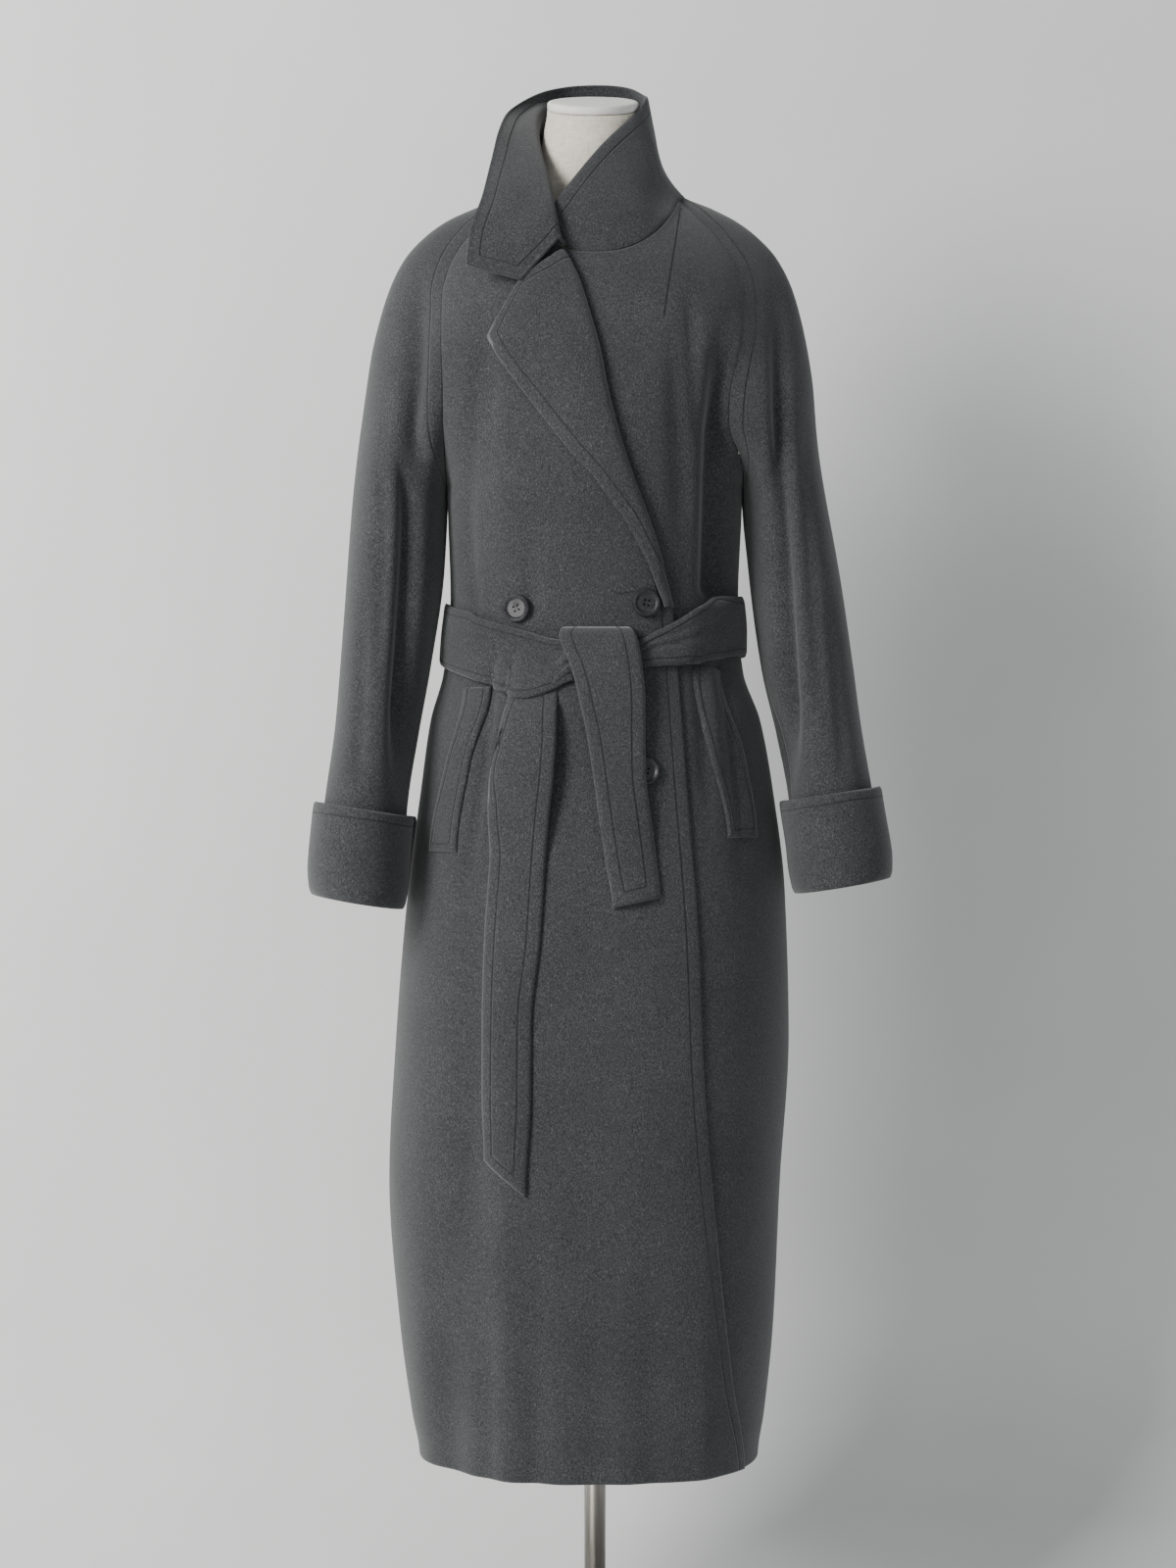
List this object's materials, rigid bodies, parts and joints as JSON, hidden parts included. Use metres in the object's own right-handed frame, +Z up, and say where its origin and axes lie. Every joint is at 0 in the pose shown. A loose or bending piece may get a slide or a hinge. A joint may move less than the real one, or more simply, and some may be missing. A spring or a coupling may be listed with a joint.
{
  "type": "double-breasted coat on a dress form",
  "caption": "long raglan-sleeved double-breasted wool coat with turned-up cuffs, welt pockets and a tied belt, worn on a limbless dress form with pole and round base",
  "frame": {"origin": "on the floor under the pole, at the middle of the base's underside", "axes": "+Z up, the coat faces -Y, the wearer's left is +X"},
  "size_m": [0.5784, 0.3406, 1.633],
  "materials": {
    "wool": "brushed heather charcoal coating wool",
    "horn": "polished dark grey horn-look resin",
    "linen": "tight cream linen",
    "cap": "satin off-white",
    "steel": "brushed steel"
  },
  "bodies": {
    "root": {"back": "wool", "front_right": "wool", "front_left": "wool", "sleeve_right": "wool", "sleeve_left": "wool", "cuff_right": "wool", "cuff_left": "wool", "collar": "wool", "lapel_right": "wool", "belt_waist": "wool", "belt_knot": "wool", "belt_tail_short": "wool", "belt_tail_long": "wool", "pocket_right": "wool", "pocket_left": "wool", "button_top_right": "horn", "button_top_left": "horn", "button_low_right": "horn", "button_low_left": "horn", "form_torso": "linen", "form_neck_cap": "cap", "pole": "steel", "base": "steel"}
  },
  "joints": []
}
